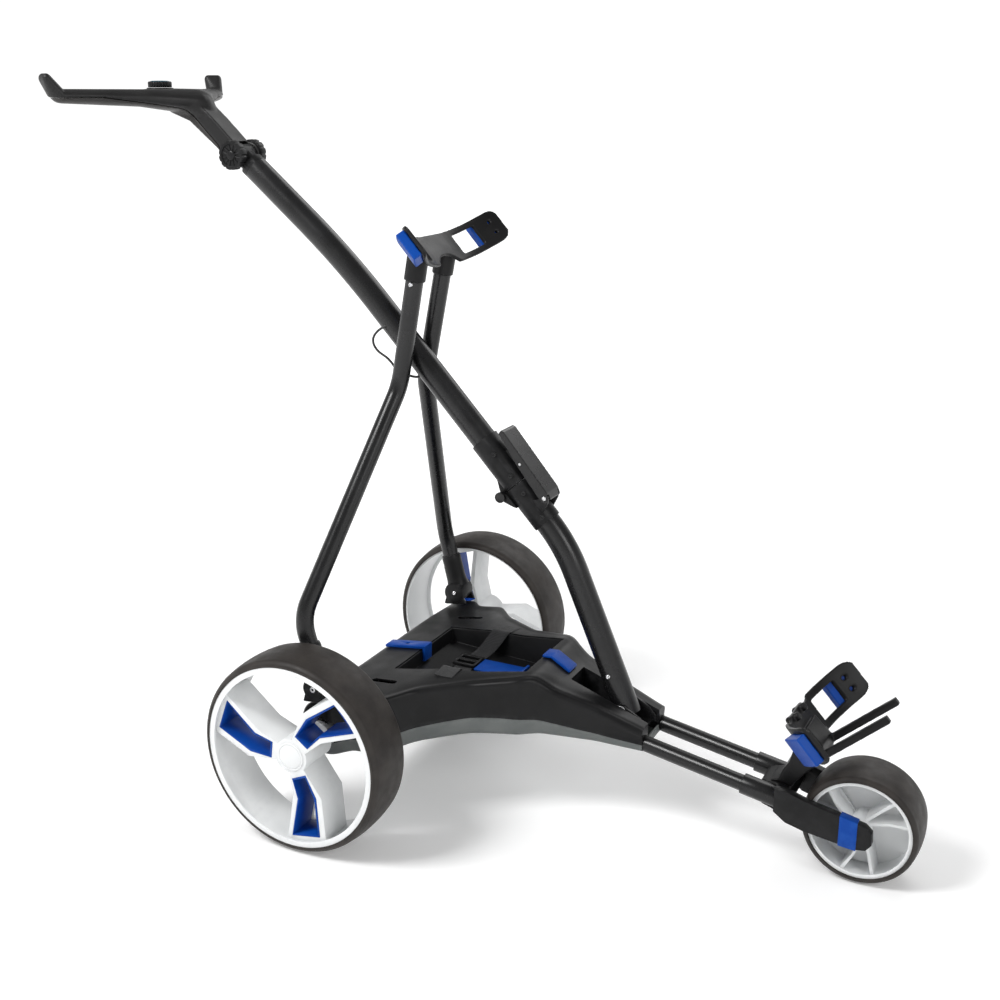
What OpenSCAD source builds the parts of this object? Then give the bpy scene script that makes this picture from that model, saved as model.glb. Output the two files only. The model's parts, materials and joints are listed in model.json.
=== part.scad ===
// Electric golf trolley: three wheels, a folding curved shaft, two splayed stays,
// an upper and a lower bag cradle, and a chassis that holds the battery tray and drive.
// +X is forward, +Y is left, +Z is up, and the wheels stand on z = 0.

/* [Wheels] */
// Diameter of each rear wheel over its tyre
rear_wheel_d = 280; // [270:1:284]
// Width of each rear tyre
rear_tyre_w = 78; // [74:1:80]
// Distance between the middles of the rear tyres
track = 545; // [540:1:556]
// Diameter of the front wheel over its tyre
front_wheel_d = 154; // [146:1:158]
// Width of the front tyre
front_tyre_w = 76; // [70:1:78]
// Distance from the rear axle to the front axle
wheelbase = 696; // [692:1:706]

/* [Shaft] */
// Outer diameter of the curved main shaft
shaft_d = 36.5; // [34:0.5:38]
// Wall thickness of every frame tube
tube_wall = 1.8; // [1.4:0.1:2.4]
// Slope of the shaft below the horizontal at the folding clamp
clamp_tilt = 47; // [46:0.5:48]
// Outer diameter of the folding clamp
clamp_d = 41.5; // [41:0.5:44]
// Outer diameter of each stay
stay_d = 25; // [22:0.5:26]

/* [Handle] */
// Distance from the middle of the handle to each grip tip
grip_reach = 190; // [180:1:196]
// Diameter of the speed dial
dial_d = 35; // [30:0.5:38]
// Diameter of each tilt knob
tilt_knob_d = 42; // [36:0.5:44]

/* [Bag cradles] */
// Width of the upper cradle's band along the bag
cradle_w = 50; // [46:1:52]
// Thickness of each cradle band
cradle_t = 5; // [4:0.5:6]

/* [Drive] */
// Diameter of the rear axle
axle_d = 12; // [11:0.5:13]
// Teeth on the drive gear
drive_teeth = 40; // [40:4:40]
// Teeth on the motor pinion
pinion_teeth = 12; // [12:4:12]

/* [Hidden] */

// Rear axle's place, with the whole trolley centred on x = 0
rear_x = -153.5;
rear_r = rear_wheel_d / 2;
front_r = front_wheel_d / 2;
shaft_r = shaft_d / 2;
clamp_r = clamp_d / 2;
stay_r = stay_d / 2;
axle_r = axle_d / 2;
// Clearance between parts that turn on each other
run_gap = 0.06;
// Clearance between separate parts that only stand beside each other
gap = 0.4;
black = [0.07, 0.07, 0.08];
graphite = [0.22, 0.22, 0.23];
grey = [0.55, 0.57, 0.58];
blue = [0.10, 0.36, 0.80];
white = [0.92, 0.93, 0.94];
steel = [0.75, 0.76, 0.78];

// Direction in the side view that slopes h degrees below the horizontal
function slope(h) = [cos(h), -sin(h)];
// Displacement along a bend of radius r that starts at slope h and turns down by a
function bend_step(r, h, a) = 2 * r * sin(a / 2) * slope(h + a / 2);
function xz(p, y = 0) = [p[0], y, p[1]];

// Main shaft: the clamp's split, the bends and the two pivots
split = [190, 467];
lower_clamp_l = 67;
upper_clamp_l = 78.6;
lower_bend_r = 238;
lower_bend = 19.5;
lower_straight = 201.4;
lower_tail = 11;
upper_straight = 323;
upper_bend_r = 1300;
upper_bend = 7.3;
upper_end = 113;
lower_slope = clamp_tilt + lower_bend;
upper_slope = clamp_tilt - upper_bend;
shaft_pivot = split + lower_clamp_l * slope(clamp_tilt)
    + bend_step(lower_bend_r, clamp_tilt, lower_bend) + lower_straight * slope(lower_slope);
shaft_top = split - upper_straight * slope(clamp_tilt)
    - bend_step(upper_bend_r, upper_slope, upper_bend) - upper_end * slope(upper_slope);
head_l = 30;
handle_pivot = shaft_top - head_l * slope(upper_slope);
// Folding hinge of the clamp, on its underside
hinge_drop = 25;
hinge_r = 3;

// Stays: foot, lower bend, crossing bend and top, as x, half width and z
stay_foot = [-12.7, 209, 205];
stay_knee = [-38.7, 211, 298];
stay_waist = [21.3, 37.5, 598.3];
stay_top = [50, 40.5, 758];
foot_pin_r = 4;
foot_z = 203;

// Bag frame: its z runs up the bag and its x points from the shaft to the bag
bag_lean = 42;
upper_bag = [53, 775];
lower_bag = [640, 215];

// Battery tray: the rear and front edges as x and half width
tray_rear = [37, 90];
tray_front = [237, 66];
tray_floor = 168;

// Fork
fork_y = 35;
fork_r = 11;
fork_slope = 10.6;
fork_l = 226;
fork_sleeve_l = 54;
fork_start = [372, 138.5];
leg_in = 41;
leg_t = 12;
front_axle_r = 4;

// Drive
gear_module = 1.5;
pressure = 20;
gear_y = -188;
gear_w = 10;
centre_distance = gear_module * (drive_teeth + pinion_teeth) / 2;
motor_r = 28;
motor_l = 78;

module from_axle() translate([rear_x, 0, 0]) children();

// Extrudes a side-view drawing of x and z to thickness t about the plane at y
module side(t, y = 0) translate([0, y + t / 2, 0]) rotate([90, 0, 0])
    linear_extrude(t) children();

// Round bar from p to q
module rod(p, q, r) {
    v = q - p;
    translate(p)
        rotate([0, acos(v[2] / norm(v)), atan2(v[1], v[0])])
            cylinder(h = norm(v), r = r, $fn = 48);
}

// Round bar along Y, centred on the side-view point p
module cross_rod(p, r, w, y = 0) translate([p[0], y + w / 2, p[1]]) rotate([90, 0, 0])
    cylinder(h = w, r = r, $fn = 48);

function unit(v) = v / norm(v);

// Everything beyond the plane at p that faces along n, and half a hairline before it
module beyond(p, n) translate(p) rotate([0, acos(n[2]), atan2(n[1], n[0])])
    translate([-50, -50, -seam / 2]) cube([100, 100, 100]);

// Mitred tube lengths along a row of points, with a hairline at each bend
seam = 0.02;
module tube_path(points, r) {
    last = len(points) - 2;
    for (i = [0:last]) let (p = points[i], q = points[i + 1], d = unit(q - p)) difference() {
        rod(p - (i > 0 ? r : 0) * d, q + (i < last ? r : 0) * d, r);
        rod(p - 2 * r * d, q + 2 * r * d, r - tube_wall);
        if (i > 0) beyond(p, -unit(d + unit(p - points[i - 1])));
        if (i < last) beyond(q, unit(d + unit(points[i + 2] - q)));
    }
}

// Tube bend that starts along +X and turns towards -Z, or towards +Z if up is true
module tube_bend(radius, angle, r, up = false)
    translate([0, 0, up ? radius : -radius]) rotate([90, 0, 0])
        rotate([0, 0, up ? -90 : 90 - angle]) rotate_extrude(angle = angle, $fn = 360)
            translate([radius, 0]) difference() {
                circle(r = r, $fn = 48);
                circle(r = r - tube_wall, $fn = 48);
            }

// Straight tube of length l along +X
module tube_run(l, r) difference() {
    run(l, r);
    translate([-1, 0, 0]) run(l + 2, r - tube_wall);
}

// Straight bar of length l along +X
module run(l, r) rotate([0, 90, 0]) cylinder(h = l, r = r, $fn = 48);

// Frame at the clamp's split: +X runs down the shaft and +Z out of its upper side
module clamp_frame() from_axle() translate(xz(split)) rotate([0, clamp_tilt, 0]) children();

// Frame of a bag cradle at side-view point p
module bag_frame(p) from_axle() translate(xz(p)) rotate([0, -bag_lean, 0]) children();

module both_sides() {
    children();
    mirror([0, 1, 0]) children();
}

// ---- wheels ----

// Point at radius r and angle a
function polar(r, a) = [r * cos(a), r * sin(a)];

// Tyre section: a crowned tread over a straight bead
crown_drop = 3;
function tread(r, w, n, i) = [r - crown_drop * pow(abs(i) / n, 2.2), i * (w / 2 - 1.5) / n];
module tyre(r, w, bead_r) rotate([90, 0, 0]) rotate_extrude($fn = 128) polygon(concat(
    [[bead_r, -w / 2 + 3], [bead_r + 2.5, -w / 2]],
    [[r - crown_drop - 1.5, -w / 2]],
    [for (i = [-8:8]) tread(r, w, 8, i)],
    [[r - crown_drop - 1.5, w / 2], [bead_r + 2.5, w / 2], [bead_r, w / 2 - 3]]));

// How far the left wheel has rolled from the right one
left_turn = -55.5;
// Boomerang spoke: its outline, the pocket through it and the lining, as radius and angle
spoke_outline = [[134, 145.6], [58, 152], [20, 138], [20, 208], [70, 192.5], [133.5, 173.7]];
spoke_pocket = [[118, 149.2], [61, 158.6], [32, 152], [32, 196], [66, 186.5], [118, 171.8]];
spoke_lining = [[115.5, 150.2], [61.5, 161.4], [34.5, 156], [34.5, 191.5], [64.5, 183.6],
    [115.5, 170.8]];
rim_r = 129;
rim_half = 37;
spoke_face = 32;
spoke_depth = 52;
lining_depth = 44;
hub_r = 25;
front_rim_r = 67.5;

module polar_polygon(points) polygon([for (p = points) polar(p[0], p[1])]);

// Rear rim about its own axis, with its outer face towards +Z
module rear_rim_solid() difference() {
    union() {
        rotate_extrude($fn = 128) polygon([[rim_r - 3, -rim_half], [rim_r, -rim_half],
            [rim_r, rim_half + 1.5], [rim_r - 8, rim_half + 1.5], [rim_r - 8, rim_half - 1.5],
            [rim_r - 3, rim_half - 4]]);
        intersection() {
            for (k = [0:2])
                rotate([0, 0, 120 * k]) translate([0, 0, spoke_face - spoke_depth])
                    linear_extrude(spoke_depth) polar_polygon(spoke_outline);
            translate([0, 0, -40]) cylinder(h = 80, r = rim_r - 1.5, $fn = 128);
        }
        translate([0, 0, spoke_face - 62])
            cylinder(h = 62, r = hub_r, $fn = 64);
    }
    for (k = [0:2])
        rotate([0, 0, 120 * k]) translate([0, 0, spoke_face - spoke_depth - 1])
            linear_extrude(spoke_depth + 2) polar_polygon(spoke_pocket);
    translate([0, 0, -40]) cylinder(h = 67, r = axle_r + run_gap, $fn = 48);
    translate([0, 0, 20]) cylinder(h = 10, r = axle_r + 3, $fn = 48);
    translate([0, 0, 26]) cylinder(h = 10, r = 20 + run_gap, $fn = 64);
}

module rear_liners_solid() for (k = [0:2])
    rotate([0, 0, 120 * k]) translate([0, 0, spoke_face - lining_depth])
        difference() {
            linear_extrude(lining_depth + 0.6) polar_polygon([for (p = spoke_pocket)
                [p[0] < 60 ? p[0] + 0.2 : p[0] - 0.2, p[1] + (p[1] < 165 ? 0.25 : -0.25)]]);
            translate([0, 0, -1]) linear_extrude(lining_depth + 3)
                polar_polygon(spoke_lining);
        }

module hub_cap_solid() difference() {
    translate([0, 0, 27]) cylinder(h = 6.5, r = 20, $fn = 64);
    translate([0, 0, 32.7]) difference() {
        cylinder(h = 2, r = 17.5, $fn = 64);
        translate([0, 0, -1]) cylinder(h = 4, r = 16.5, $fn = 64);
    }
}

// Places a rear wheel piece: way is 1 on the left and -1 on the right
module rear_wheel(way) from_axle() translate([0, way * track / 2, rear_r])
    mirror([0, way > 0 ? 1 : 0, 0]) rotate([90, 0, 0]) children();

module rear_tyre(way) from_axle() translate([0, way * track / 2, rear_r])
    tyre(rear_r, rear_tyre_w, rim_r + 0.05);

module tyre_left() color(black) rear_tyre(1);
module tyre_right() color(black) rear_tyre(-1);
module rim_left() color(white) rear_wheel(1) rotate([0, 0, left_turn]) rear_rim_solid();
module rim_right() color(white) rear_wheel(-1) rear_rim_solid();
module liners_left() color(blue) rear_wheel(1) rotate([0, 0, left_turn]) rear_liners_solid();
module liners_right() color(blue) rear_wheel(-1) rear_liners_solid();
module hub_cap_left() color(white) rear_wheel(1) hub_cap_solid();
module hub_cap_right() color(white) rear_wheel(-1) hub_cap_solid();

module front_wheel_frame() from_axle() translate([wheelbase, 0, front_r]) rotate([90, 0, 0])
    children();

module front_tyre() color(black) from_axle() translate([wheelbase, 0, front_r])
    tyre(front_r, front_tyre_w, front_rim_r + 0.05);

// Curved front spoke: two ribs that part towards the rim
front_rib_a = [[12, 150], [40, 139], [65.5, 131], [65.5, 135], [40, 144], [12, 172]];
front_rib_b = [[12, 175], [40, 168], [65.5, 166], [65.5, 170], [40, 173.5], [12, 196]];
module front_rim() color(white) front_wheel_frame() difference() {
    union() {
        rotate_extrude($fn = 96) polygon([[front_rim_r - 3, -35], [front_rim_r, -35],
            [front_rim_r, 35], [front_rim_r - 5, 35], [front_rim_r - 5, 33],
            [front_rim_r - 3, 32], [front_rim_r - 3, 2], [front_rim_r - 3, -32],
            [front_rim_r - 5, -33], [front_rim_r - 5, -35]]);
        for (k = [0:2]) rotate([0, 0, 120 * k]) {
            translate([0, 0, -28]) linear_extrude(56) polar_polygon(front_rib_a);
            translate([0, 0, -28]) linear_extrude(56) polar_polygon(front_rib_b);
            translate([0, 0, -3]) linear_extrude(4) polar_polygon([[10, 150], [65.5, 131],
                [65.5, 170], [10, 196]]);
        }
        translate([0, 0, -34]) cylinder(h = 68, r = 15, $fn = 64);
    }
    translate([0, 0, -40]) cylinder(h = 80, r = 10, $fn = 48);
}

module front_bushes() color(graphite) front_wheel_frame() both_ends() difference() {
    translate([0, 0, 22]) cylinder(h = 14, r = 9.98, $fn = 48);
    translate([0, 0, 20]) cylinder(h = 20, r = front_axle_r + run_gap, $fn = 48);
}

module both_ends() {
    children();
    mirror([0, 0, 1]) children();
}

// ---- chassis ----

// Left half of the plan outline, as x and half width from the rear to the front
plan_half = [[-42, 204], [-34, 226], [12, 226], [30, 203], [72, 203], [96, 172], [105, 159],
    [170, 114], [235, 95], [258, 77], [337, 56], [402, 48]];
module plan_shape(grow = 0) polygon(concat(
    [for (p = plan_half) plan_point(p, grow, 1)],
    [for (i = [len(plan_half) - 1:-1:0]) plan_point(plan_half[i], grow, -1)]));
function plan_point(p, grow, way) = [p[0] + plan_push(p[0]) * grow, way * (p[1] + grow)];
// Only the rear and front edges move along X when the outline grows
function plan_push(x) = x < -30 ? -1 : x > 390 ? 1 : 0;

// Top line of the housing, raised by d, from rear to front
top_points = [[-42, 160], [-26, 182], [72, 195.5], [105, 201], [170, 207], [238, 218],
    [250, 219], [276, 203], [335, 182], [400, 158], [420, 154]];
// Lower edge of the housing, from front to rear
belt_points = [[420, 133], [396, 136], [322, 142], [257, 156], [202, 159], [134, 147],
    [97, 143], [60, 128], [-50, 122]];
// Lower face of the undertray, from rear to front
keel_points = [[-50, 104], [60, 106], [102, 119], [191, 128], [245, 131], [320, 127],
    [420, 122.5]];
function raised(points, d) = [for (p = points) p + [0, d]];

shell_t = 3;
module tray_hole(grow = 0) linear_extrude(120) polygon([
    [tray_rear[0] - grow, tray_rear[1] + grow], [tray_rear[0] - grow, -tray_rear[1] - grow],
    [tray_front[0] + grow, -tray_front[1] - grow], [tray_front[0] + grow, tray_front[1] + grow]]);

// Slot in the housing's nose that the lower tube stands in and folds through
nose_slot_w = 47;
nose_slot = [[286, 230], [286, 168], [322, 150], [345, 141], [430, 137.6], [430, 230]];
module nose_cut() {
    side(nose_slot_w) polygon(nose_slot);
    both_sides() rod(xz(fork_start - slope(fork_slope), fork_y),
        xz(fork_start + 60 * slope(fork_slope), fork_y), fork_r + gap);
}

module axle_tunnel(r) translate([0, 240, rear_r]) rotate([90, 0, 0])
    cylinder(h = 480, r = r, $fn = 48);

axle_hole_r = 20;
module chassis_shell() color(black) from_axle() difference() {
    intersection() {
        linear_extrude(300) plan_shape();
        side(480) polygon(concat(top_points, belt_points));
    }
    intersection() {
        linear_extrude(300) plan_shape(-shell_t);
        side(480) polygon(concat(raised(top_points, -shell_t), raised(belt_points, -60)));
    }
    translate([0, 0, tray_floor - 10]) tray_hole();
    both_sides() translate([52, 146, 170]) rotate([0, 0, 45])
        cube([22, 7, 100], center = true);
    nose_cut();
    axle_tunnel(axle_hole_r);
}

module chassis_undertray() color(grey) from_axle() difference() {
    intersection() {
        linear_extrude(300) plan_shape(-gap);
        side(480) polygon(concat(raised(belt_points, -gap), keel_points));
    }
    intersection() {
        linear_extrude(300) plan_shape(-shell_t - gap);
        side(480) polygon(concat(raised(belt_points, 60), raised(keel_points, shell_t)));
    }
    nose_cut();
    axle_tunnel(axle_hole_r);
}

tray_t = 2.5;
tray_drop = 1.5;
module battery_tray() color(black) from_axle() difference() {
    intersection() {
        translate([0, 0, tray_floor - 3]) tray_hole(-gap);
        side(200) polygon(concat(raised(top_points, -tray_drop), [[420, 90], [-42, 90]]));
    }
    translate([0, 0, tray_floor]) tray_hole(-gap - tray_t);
}

module tray_pad() color(blue) from_axle() {
    translate([122, -4, tray_floor + 2.8]) cube([74, 40, 3]);
    translate([192, -4, tray_floor + 5.8]) cube([4, 40, 5]);
    translate([150, -4, tray_floor]) cube([46, 40, 2.8]);
}

// Clips over the rear and front edges of the tray
rear_clip_w = 22;
front_clip_w = 26;
module tray_clip_rear() color(blue) from_axle() difference() {
    side(rear_clip_w) polygon([[-24, 182.8], [37, 191.2], [40.3, 191.8], [40.3, 172], [44, 172],
        [44, 195.8], [37, 195], [-24, 186.6]]);
    translate([9, 0, 170]) cylinder(h = 40, r = 3, $fn = 32);
}

module tray_clip_front() color(blue) from_axle() side(front_clip_w) polygon([[236.9, 218.4],
    [250.1, 219.5], [277.6, 202.8], [280.4, 204.6], [279, 207.4], [252, 223.4], [236.9, 222.4]]);

// Webbing over the left edge of the tray, across the floor and out over the right edge
strap_w = 28;
strap_line = [[-104, 205.6], [-72.8, 205.6], [-70, 199], [-66, 188], [-60, 176], [-50, 168.6],
    [40, 168.6], [52, 173], [60, 182], [67, 195], [72.8, 205.6], [104, 205.6], [104, 207.6],
    [71.8, 207.6], [65.2, 196], [58.3, 183.2], [51, 174.8], [39.5, 170.6], [-49, 170.6],
    [-58.5, 177], [-64.2, 188.8], [-68.2, 200], [-71.8, 207.6], [-104, 207.6]];
module battery_strap() color(graphite) from_axle() translate([114, 0, 0]) rotate([90, 0, 90])
    linear_extrude(strap_w) polygon(strap_line);

// Buckle on the webbing at the bottom of the tray
module strap_buckle() color(black) from_axle() translate([84, 2, tray_floor + 2.8]) difference() {
    cube([36, 36, 5]);
    translate([4, 5, -1]) cube([28, 9, 8]);
    translate([4, 21, -1]) cube([28, 9, 8]);
}

module battery_socket() color(black) from_axle() difference() {
    translate([212, -16, tray_floor + 0.2]) cube([20, 32, 22]);
    translate([208, -12, tray_floor + 5]) cube([14, 24, 12]);
}

module controller_box() color(graphite) from_axle() {
    translate([247, -50, 135.5]) cube([62, 100, 22]);
    for (i = [0:5])
        translate([250 + 10 * i, -46, 157]) cube([3, 92, 4]);
}

// ---- drive ----

// Involute gear blank: one flank point at roll angle t on base radius b
function flank(b, t, turn) = [b * (cos(t + turn) + t * PI / 180 * sin(t + turn)),
    b * (sin(t + turn) - t * PI / 180 * cos(t + turn))];
module gear_shape(teeth) {
    pitch_r = gear_module * teeth / 2;
    base_r = pitch_r * cos(pressure);
    root_r = pitch_r - 1.3 * gear_module;
    tip_r = pitch_r + 0.9 * gear_module;
    tip_roll = sqrt(pow(tip_r / base_r, 2) - 1) * 180 / PI;
    half = 90 / teeth + (tan(pressure) * 180 / PI - pressure) - 0.7 * 18 / teeth;
    union() {
        circle(r = root_r, $fn = 96);
        for (k = [0:teeth - 1]) rotate([0, 0, 360 * k / teeth]) polygon(concat(
            [[root_r - 0.6, -root_r * sin(half)]],
            [for (i = [0:4]) let (p = flank(base_r, tip_roll * i / 4, 0))
                [p[0] * cos(half) + p[1] * sin(half), p[1] * cos(half) - p[0] * sin(half)]],
            [for (i = [4:-1:0]) let (p = flank(base_r, tip_roll * i / 4, 0))
                [p[0] * cos(half) + p[1] * sin(half), p[0] * sin(half) - p[1] * cos(half)]],
            [[root_r - 0.6, root_r * sin(half)]]));
    }
}

module drive_gear() color(steel) from_axle() translate([0, gear_y + gear_w / 2, rear_r])
    rotate([90, 0, 0]) difference() {
        linear_extrude(gear_w) gear_shape(drive_teeth);
        translate([0, 0, -1]) cylinder(h = gear_w + 2, r = axle_r, $fn = 48);
        for (k = [0:5]) rotate([0, 0, 60 * k]) translate([16, 0, -1])
            cylinder(h = gear_w + 2, r = 4.5, $fn = 32);
    }

module motor_pinion() color(steel) from_axle()
    translate([centre_distance, gear_y + gear_w / 2, rear_r]) rotate([90, 0, 0]) {
        rotate([0, 0, 180 + 180 / pinion_teeth]) linear_extrude(gear_w)
            gear_shape(pinion_teeth);
        translate([0, 0, -motor_l / 2]) cylinder(h = motor_l / 2, r = 4, $fn = 32);
    }

module rear_axle() color(steel) from_axle() {
    cross_rod([0, rear_r], axle_r, 598);
    both_sides() translate([0, 296, rear_r]) rotate([90, 0, 0])
        cylinder(h = 3, r = axle_r + 1.5, $fn = 6);
}

module motor_body() color(graphite) from_axle() difference() {
    cross_rod([centre_distance, rear_r], motor_r, motor_l, gear_y + 10 + motor_l / 2);
    cross_rod([centre_distance, rear_r], 4.5, motor_l, gear_y + 5 + motor_l / 2);
}

module gearbox_case() color(black) from_axle() difference() {
    side(gear_w + 8, gear_y) polygon([[-35, 114], [-35, 166], [-20, 175], [20, 175],
        [60, 160], [62, 120], [50, 112], [-28, 109]]);
    cross_rod([0, rear_r], 33, gear_w + 2, gear_y);
    cross_rod([centre_distance, rear_r], 11.5, gear_w + 2, gear_y);
    cross_rod([0, rear_r], axle_r + 1, gear_w + 20, gear_y);
    cross_rod([centre_distance, rear_r], 5, 10, gear_y + 10);
}

bearing_y = 225;
bearing_w = 8;
module axle_bearings() color(steel) from_axle() both_sides() difference() {
    cross_rod([0, rear_r], axle_hole_r - gap, bearing_w, bearing_y);
    cross_rod([0, rear_r], axle_r + run_gap, bearing_w + 2, bearing_y);
}

// ---- frame ----

// Hinge brackets for the stays' feet: two cheeks and a pin on each side
module stay_brackets() color(black) from_axle() both_sides() {
    for (y = [-15.5, 15.5])
        side(4, stay_foot[1] + y) polygon([[-30, 182.5], [-24, 205], [-13, 214], [-2, 208],
            [8, 188], [8, 186.8], [-26, 182.2]]);
    cross_rod([stay_foot[0], foot_z], foot_pin_r, 27, stay_foot[1]);
}

// Cheeks that carry the shaft's pivot
cheek_t = 3;
cheek_y = 20.4;
shaft_pin_r = 5;
module shaft_bracket() color(black) from_axle() difference() {
    union() {
        both_sides() side(cheek_t, cheek_y) polygon([[330, 151], [346, 141.8],
            [398, 140.2], [399, 150], [390, 160], [378, 167], [367, 173.5], [352, 173.5],
            [336, 164]]);
        translate([347, -cheek_y, 139.6]) cube([46, 2 * cheek_y, 3]);
    }
    cross_rod(shaft_pivot, shaft_pin_r, 60);
}

pin_head_w = 1;
module shaft_pivot_pin() color(steel) from_axle() {
    cross_rod(shaft_pivot, shaft_pin_r - run_gap, 2 * cheek_y + cheek_t);
    both_sides() cross_rod(shaft_pivot, 8, pin_head_w, cheek_y + (cheek_t + pin_head_w) / 2);
}

function fork_point(l) = xz(fork_start + l * slope(fork_slope), fork_y);
module fork_tubes() color(black) from_axle() both_sides() difference() {
    union() {
        rod(fork_point(0), fork_point(fork_l), fork_r);
        rod(fork_point(fork_l - fork_sleeve_l), fork_point(fork_l), fork_r + 3);
    }
    rod(fork_point(-2), fork_point(fork_l - 2), fork_r - tube_wall);
}

module fork_head() color(black) from_axle() difference() {
    side(2 * leg_in) polygon([[562, 112], [585, 114], [602, 110], [607, 96], [603, 84],
        [590, 80], [566, 88]]);
    both_sides() rod(fork_point(0), fork_point(fork_l + 0.5), fork_r + 3.1);
}

// Top and bottom lines of each fork leg
leg_shape = [[588, 118], [602, 118.5], [630, 110], [683, 99], [706, 94], [715, 86],
    [716, 70], [709, 61], [696, 59], [677, 61], [629, 67.5], [604, 74], [588, 86]];
module fork_legs() color(black) from_axle() both_sides() difference() {
    side(leg_t, leg_in + leg_t / 2) polygon(leg_shape);
    rod(fork_point(0), fork_point(fork_l + 0.5), fork_r + 3.1);
    cross_rod([wheelbase, front_r], front_axle_r + run_gap, 2 * (leg_in + leg_t) - 5);
}

// Sleeve that wraps each fork leg just behind the axle
band_proud = 1.2;
module leg_bands() color(blue) from_axle() both_sides() difference() {
    side(leg_t + 2 * band_proud, leg_in + leg_t / 2) polygon([[674, 102.2], [697, 97.2],
        [697, 57.8], [674, 60]]);
    side(leg_t + 0.04, leg_in + leg_t / 2) polygon([[673, 101.3], [683, 99.1], [698, 95.9],
        [698, 58.8], [677, 60.9], [673, 61.4]]);
    cross_rod([wheelbase, front_r], front_axle_r + gap, 2 * (leg_in + leg_t) - 5);
}

module front_axle() color(steel) from_axle()
    cross_rod([wheelbase, front_r], front_axle_r, 2 * (leg_in + leg_t) - 6);

// ---- bag cradles ----

// Cradle section as [flat half width, rise, curve]: a flat middle with rising arms.
// Point at half width y, depth below the side that the bag rests on
function arm_over(y, shape) = max(0, abs(y) - shape[0]);
function band_point(y, depth, shape) =
    let (over = arm_over(y, shape), slant = 2 * shape[2] * over, l = sqrt(1 + slant * slant))
    [shape[1] + shape[2] * over * over - depth / l,
        y + (y > 0 ? 1 : -1) * depth * slant / l];
module band_strip(y0, y1, d0, d1, shape, n) polygon(concat(
    [for (i = [0:n]) band_point(y0 + (y1 - y0) * i / n, d0, shape)],
    [for (i = [n:-1:0]) band_point(y0 + (y1 - y0) * i / n, d1, shape)]));

// Curved band with rounded tips and a window through each arm
tip_r = 12;
module cradle_band(w, reach, tip_y, shape) difference() {
    intersection() {
        translate([0, 0, -w / 2]) linear_extrude(w)
            band_strip(-reach, reach, 0, cradle_t, shape, 28);
        translate([-60, 0, 0]) rotate([0, 90, 0]) {
            translate([-w / 2 + tip_r, -tip_y, 0]) cube([w - 2 * tip_r, 2 * tip_y, 200]);
            translate([-w / 2, -tip_y + tip_r, 0]) cube([w, 2 * (tip_y - tip_r), 200]);
            for (x = [-w / 2 + tip_r, w / 2 - tip_r], y = [-tip_y + tip_r, tip_y - tip_r])
                translate([x, y, 0]) cylinder(h = 200, r = tip_r, $fn = 48);
        }
    }
    both_sides() translate([-60, window_y, -window_h / 2]) cube([160, window_w, window_h]);
}
window_y = 48;
window_w = 44;
window_h = 32;

// Point on the left stay's top length at height z
function stay_at(z) = stay_waist
    + (stay_top - stay_waist) * (z - stay_waist[2]) / (stay_top[2] - stay_waist[2]);
upper_shape = [20, 20, 0.0037];
upper_reach = 128;
module upper_cradle() color(black) {
    bag_frame(upper_bag) difference() {
        cradle_band(cradle_w, upper_reach + 3, upper_reach, upper_shape);
        both_sides() for (z = [-9, 9])
            translate([30, 111, z - 2.5]) cube([60, 5, 5]);
        translate([0, 0, -47]) rotate([0, 90, 0]) cylinder(h = 60, r = 37, $fn = 64);
    }
    from_axle() both_sides() difference() {
        rod(stay_at(748), stay_at(788), stay_r + 2.6);
        rod(stay_at(710), stay_at(stay_top[2] + 0.5), stay_r + 0.05);
        translate(xz(upper_bag)) rotate([0, -bag_lean, 0])
            translate([upper_shape[1] - cradle_t + 0.5, -80, -80]) cube([160, 160, 160]);
    }
}

pad_w = 41;
pad_t = 13;
module cradle_pads(y0, y1, shape) both_sides() translate([0, 0, -pad_w / 2])
    linear_extrude(pad_w) band_strip(y0, y1, cradle_t + 0.05, cradle_t + pad_t, shape, 6);
module upper_cradle_pads() color(blue) bag_frame(upper_bag) cradle_pads(89, 122, upper_shape);

lower_shape = [26, -34, 0.0064];
lower_reach = 119;
lower_cradle_w = cradle_w + 4;
module lower_cradle() color(black) {
    bag_frame(lower_bag) {
        difference() {
            cradle_band(lower_cradle_w, lower_reach + 3, lower_reach, lower_shape);
            both_sides() translate([-60, 37, 40]) rotate([0, 90, 0])
                cylinder(h = 100, r = 18, $fn = 64);
            both_sides() for (z = [-9, 9])
                translate([-10, 101, z - 3]) cube([60, 6, 6]);
        }
        translate([lower_shape[1] - cradle_t, 0, -41]) {
            both_sides() translate([0, 25, 0]) cube([114, 9, 10]);
            translate([0, -34, 0]) cube([10, 68, 24]);
        }
        both_sides() translate([lower_shape[1] - cradle_t - 8, 16, 21]) rotate([0, 90, 0])
            cylinder(h = 20, r = 5.5, $fn = 32);
    }
    from_axle() side(46) polygon([[574, 114.2], [585, 118], [590, 132.2], [598, 146],
        [606, 182], [618, 200], [640, 178], [646, 160], [622, 136], [608, 119], [604.5, 112],
        [602, 110.4], [585, 114.4], [574, 113.4]]);
}

module lower_cradle_pads() color(blue) bag_frame(lower_bag) cradle_pads(82, 113, lower_shape);

module screw_head(r, h) difference() {
    cylinder(h = h, r = r, $fn = 32);
    translate([0, 0, h * 0.5]) cylinder(h = h, r = r * 0.5, $fn = 6);
}

module chassis_screws() color(steel) from_axle() {
    both_sides() for (x = [342, 390]) translate([x, cheek_y + cheek_t / 2, 152])
        rotate([-90, 0, 0]) screw_head(2.6, 1);
    both_sides() translate([stay_foot[0], stay_foot[1] + 17.6, foot_z]) rotate([-90, 0, 0])
        screw_head(4, 2.4);
}

// ---- main shaft ----

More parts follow.
